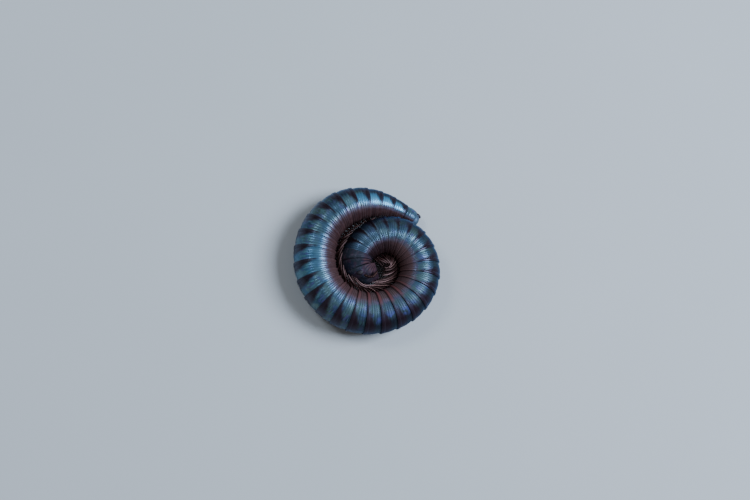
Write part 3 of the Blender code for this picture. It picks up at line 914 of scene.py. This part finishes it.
def collum_piece(material):
    """The shield behind the head: a wedge turning about the throat, whose hind rim covers the
    last ring and whose front rim covers the head's root, with a fan of fine ridges below."""
    outer = np.linspace(-0.11, 1.07, 110)
    step = np.concatenate([[0.04, -0.07, -0.115, -0.127, -0.122], outer, [1.088, 1.085, 1.05, 0.97]])
    crown = 1.000 + 0.035 * np.sin(np.pi * np.clip(outer, 0.0, 1.0) ** 0.7)
    crown = crown - 0.150 * smooth((outer - 0.40) / 0.70) - 0.035 * bump(outer, 0.50, 0.045)
    scale = np.concatenate([[0.88, 0.93, 0.95, 0.972, 0.990], crown, [0.838, 0.82, 0.80, 0.78]])
    middle, ahead = neck_frame(step * COLLUM_TURN)
    angle = section_angles()
    step = step[:, None]
    low = smooth((np.abs(angle[None]) - 1.4) / 0.5)
    fan = np.cos(2.0 * np.pi * step * COLLUM_TURN / FAN_STEP) * low
    fan = fan * smooth((step - 0.30) / 0.35)
    inside = ((step < -0.12) | (step > 1.07)).astype(float)
    waist = bump(step, 0.50, 0.035) * 0.8
    radius = float(body_radius(NECK_TURN)) * (scale[:, None] + FAN_HEIGHT * fan * (1.0 - inside))
    skin = Skin("low", "crease", "seed", "fan")
    skin.add(section_grid(middle, ahead, radius, angle, COLLUM_DEPTH), low=low * 0.7, seed=0.3,
             crease=np.maximum(inside, waist), fan=np.clip(fan, 0.0, 1.0) ** 1.5)
    skin.build("collum_shield", material, "head", "collum")


def head_point(x, y, z):
    """From the head's own axes (ahead, to its left, toward its back) to the world."""
    middle, ahead = neck_frame(COLLUM_TURN)
    x, y, z = (np.asarray(value, float)[..., None] for value in (x, y, z))
    base = middle + ahead * GAP
    return base + ahead * x + outward(ahead) * z + np.array([0.0, 0.0, 1.0]) * y


def head_outline(level):
    """Depth of the face and half width of the head at a level, -1 at the lip, 1 at the crown:
    both are full near the middle and fall with a power of the level toward either end."""
    above = np.maximum(level + 0.2, 0.0) / 1.25
    below = np.maximum(-level - 0.2, 0.0) / 0.8
    depth = HEAD_DEPTH * ((1.0 - above ** 2) ** 0.85 - 0.12 * below ** 2)
    crown = np.maximum(level, 0.0)
    chin = np.maximum(-level - 0.1, 0.0) / 0.9
    wide = HEAD_HALF_WIDTH * (1.0 - 0.58 * crown ** 2.2 - 0.50 * chin ** 1.8)
    return depth, wide


def head_piece(material):
    """The head capsule: at each level a flat-backed oval, with cheeks, face lines, a notched lip
    and, on each cheek, fine ridges that fan out from the throat."""
    level = np.linspace(1.0, -1.0, 150)[:, None]
    angle = np.pi * (np.linspace(0.0, 1.0, 180)[None] - 0.5)
    depth, wide = head_outline(level)
    side = np.abs(angle)
    cheek = 0.00030 * bump(level, -0.45, 0.25) * bump(side, 1.15, 0.28)
    notch = LIP_NOTCH * smooth((-level - 0.7) / 0.3) * bump(angle, 0.0, 0.16)
    teeth = 0.00008 * smooth((-level - 0.8) / 0.2) * np.cos(angle * 22.0) * bump(angle, 0.0, 0.35)
    seam = bump(angle, 0.0, 0.035) * smooth((level - 0.05) / 0.25)
    jaw = bump(side, 1.02 + 0.25 * (level + 0.45), 0.030) * bump(level, -0.45, 0.42)
    brow = bump(level, -0.52 - 0.10 * np.cos(2.0 * angle), 0.020) * bump(angle, 0.0, 0.55)
    socket = bump(np.hypot((level - 0.12) * 1.2, (side - 0.98) * 1.3), 0.30, 0.05)
    lines = np.clip(seam + jaw + brow + 0.6 * socket, 0.0, 1.0)
    plain = depth * np.abs(np.cos(angle)) ** 0.8
    height = level * HEAD_HALF_HEIGHT + THROAT_RADIUS
    turn = np.degrees(np.arctan2(plain + GAP, height))
    far = np.hypot(plain + GAP, height)
    shown = smooth((far - 0.0005) / 0.0006) * smooth((0.0038 - far) / 0.0010)
    shown = shown * smooth((66.0 - turn) / 14.0) * smooth((side - 0.75) / 0.3)
    fan = np.cos(2.0 * np.pi * turn / FAN_STEP) * shown
    push = cheek - 0.00005 * lines + 0.00005 * fan
    x = plain + push * np.cos(angle) - notch - teeth
    y = wide * np.sign(angle) * np.abs(np.sin(angle)) ** 0.9 + push * np.sin(angle)
    z = np.broadcast_to(level * HEAD_HALF_HEIGHT, x.shape)
    skin = Skin("low", "crease", "seed", "fan")
    skin.add(head_point(np.maximum(x, 0.0), y, z), low=0.42 - 0.6 * level, crease=lines, seed=0.7,
             fan=np.clip(fan, 0.0, 1.0) ** 1.5)
    skin.build("head_capsule", material, "head", "head")


def eye_pieces(material):
    """Each eye: an oval patch with rows of small domes, as deep in the head as its solid."""
    latitude = np.linspace(0.0, np.pi, 40)[:, None]
    around = 2.0 * np.pi * np.arange(64)[None] / 64
    for name, side in (("eye_left", 1.0), ("eye_right", -1.0)):
        x = np.sin(latitude) * np.cos(around)
        z = np.sin(latitude) * np.sin(around)
        y = np.broadcast_to(np.cos(latitude), x.shape)
        row = z * 4.0
        column = x * 3.2 + 0.5 * (np.floor(row) % 2.0)
        dome = np.hypot((row % 1.0) - 0.5, (column % 1.0) - 0.5)
        dome = np.clip(1.0 - (dome / 0.5) ** 2, 0.0, 1.0) * smooth((y - 0.15) / 0.3)
        depth, wide = head_outline(np.array(EYE_LEVEL))
        swell = 1.0 + 0.10 * (dome - 1.0)
        grid = head_point(EYE_AHEAD + x * EYE_SIZES[0] * swell,
                          side * (wide - 0.00016 + y * EYE_SIZES[2] * swell),
                          EYE_LEVEL * HEAD_HALF_HEIGHT + z * EYE_SIZES[1] * swell)
        skin = Skin("dome")
        skin.add(grid[1:-1], dome=dome[1:-1])
        skin.build(name + "_lenses", material, "eyes", name)


def feeler_pieces(material):
    """Each feeler: seven joints, narrow at their roots and wide at their ends, then a blunt tip."""
    along = np.linspace(0.0, 1.0, 90)
    step = (along * FEELER_JOINTS) % 1.0
    swell = 0.72 + 0.28 * smooth(step / 0.7) - 0.30 * smooth((step - 0.93) / 0.07)
    club = 0.85 + 0.30 * along - 0.62 * smooth((along - 0.86) / 0.14)
    bend = np.pi * (0.02 + 0.98 * along)
    for name, side in (("antenna_left", 1.0), ("antenna_right", -1.0)):
        route = head_point(0.0021 + 0.0010 * np.sin(bend),
                           side * (0.0034 + 0.0005 * np.sin(bend) - 0.0004 * along),
                           0.0004 - 0.0031 * along)
        skin = Skin("along", "joint", "deep")
        joint = bump(step, 0.0, 0.07) + bump(step, 1.0, 0.07)
        skin.add(tube_grid(route, FEELER_RADIUS * swell * club, 20),
                 along=(0.10 + 0.20 * along)[:, None], joint=joint[:, None], deep=0.5)
        skin.build(name + "_joints", material, "limbs", name)


# Tail end

def ellipsoid_grid(middle, ahead, sizes):
    """An ellipsoid: sines and cosines of two angles times its three half sizes."""
    latitude = np.linspace(0.02, np.pi - 0.02, ELLIPSOID_ROWS)[:, None]
    around = 2.0 * np.pi * np.arange(ELLIPSOID_SIDES)[None] / ELLIPSOID_SIDES
    x = np.broadcast_to(np.cos(latitude), (ELLIPSOID_ROWS, ELLIPSOID_SIDES)) * sizes[0]
    y = np.sin(latitude) * np.cos(around) * sizes[1]
    z = np.sin(latitude) * np.sin(around) * sizes[2]
    grid = middle + ahead * x[..., None] - outward(ahead) * y[..., None]
    grid[..., 2] += z
    return grid


def tail_piece(material):
    """The last ring, which narrows to the rear with three fine cross grooves, the short blunt
    tip over it, and the two valves that close it."""
    ahead = heading(EDGES[0])
    radius = float(body_radius(EDGES[0]))
    rear = centre(EDGES[0]) - ahead * GAP
    step = np.linspace(-0.25, 1.12, 60)
    scale = np.interp(step, TAIL_STEPS, TAIL_SCALES)
    for _ in range(6):
        scale[1:-1] = 0.25 * scale[:-2] + 0.5 * scale[1:-1] + 0.25 * scale[2:]
    angle = section_angles()
    grooves = bump((step / 0.27) % 1.0, 0.5, 0.16) * smooth((0.95 - step) / 0.1) * smooth(step / 0.1)
    ring = radius * (scale - 0.016 * grooves)[:, None]
    middle = rear - ahead * (radius * step)[:, None]
    skin = Skin(*RING_VALUES)
    skin.add(section_grid(middle, ahead, ring, angle, VENTRAL), seed=0.4, dark=0.1,
             hind=(1.0 - 0.6 * np.clip(step, 0.0, 1.0))[:, None], back=np.abs(angle)[None] / np.pi)
    for side in (1.0, -1.0):
        place = rear - ahead * radius - outward(ahead) * radius * 0.08
        place = place + np.array([0.0, 0.0, side * radius * 0.33])
        valve = ellipsoid_grid(place, ahead, (radius * 0.52, radius * 0.62, radius * 0.36))
        skin.add(valve, hind=0.6, back=0.55, seed=0.8, dark=0.5, dull=0.5)
    place = rear - ahead * radius * 1.05 + outward(ahead) * radius * 0.55
    tip = ellipsoid_grid(place, ahead, (radius * 0.5, radius * 0.26, radius * 0.30))
    skin.add(tip, hind=0.2, back=0.1, seed=0.2, dark=0.5, dull=0.5)
    skin.build("tail_end", material, "rings", "telson")


# Stage, lights and camera

def floor_piece():
    """A wide level floor."""
    mesh = bpy.data.meshes.new("floor")
    half = 1.2
    mesh.from_pydata([(-half, -half, 0.0), (half, -half, 0.0), (half, half, 0.0), (-half, half, 0.0)],
                     [], [(0, 1, 2, 3)])
    floor = bpy.data.objects.new("floor", mesh)
    bpy.context.scene.collection.objects.link(floor)
    floor.data.materials.append(floor_material())


def area_light(name, place, size, power, color):
    """A soft square light aimed at the coil."""
    data = bpy.data.lights.new(name, "AREA")
    data.size = size
    data.energy = power
    data.color = color
    light = bpy.data.objects.new(name, data)
    light.location = place
    aim = Vector(LIGHT_AIM) - Vector(place)
    light.rotation_euler = aim.to_track_quat("-Z", "Y").to_euler()
    bpy.context.scene.collection.objects.link(light)


def lights():
    """A broad cool key from the right, a weaker fill from the left and a pale sky."""
    area_light("key", (0.44, 0.04, 0.55), 0.34, 7.7, (0.62, 0.78, 1.0))
    area_light("fill", (-0.37, 0.22, 0.58), 0.20, 1.3, (0.70, 0.84, 1.0))
    world = bpy.data.worlds.new("studio")
    world.use_nodes = True
    world.node_tree.nodes["Background"].inputs["Color"].default_value = (0.85, 0.90, 1.0, 1.0)
    world.node_tree.nodes["Background"].inputs["Strength"].default_value = 0.18
    bpy.context.scene.world = world


def camera():
    """Look down on the coil as the photo does, with its framing."""
    toward = Vector(CAMERA_DIRECTION).normalized()
    right = (Vector((1.0, 0.0, 0.0)) - toward * toward.x).normalized()
    up = toward.cross(right)
    aim = Vector((HUB[0], HUB[1], HUB_HEIGHT))
    aim = aim - right * HUB_RIGHT_PIXELS * PIXEL + up * HUB_DOWN_PIXELS * PIXEL
    distance = PIXEL * FRAME_WIDTH_PIXELS * LENS_MM / SENSOR_MM
    data = bpy.data.cameras.new("camera")
    data.lens = LENS_MM
    data.sensor_width = SENSOR_MM
    data.clip_start = 0.01
    view = bpy.data.objects.new("camera", data)
    turn = Matrix((right, up, toward)).transposed()
    view.matrix_world = Matrix.Translation(aim + toward * distance) @ turn.to_4x4()
    bpy.context.scene.collection.objects.link(view)
    bpy.context.scene.camera = view


ring_shell = ring_material()
head_shell = head_material()
limb_shell = limb_material()
eye_lenses = eye_material()
ring_pieces(ring_shell)
leg_pieces(limb_shell)
collum_piece(head_shell)
head_piece(head_shell)
eye_pieces(eye_lenses)
feeler_pieces(limb_shell)
tail_piece(ring_shell)
floor_piece()
lights()
camera()
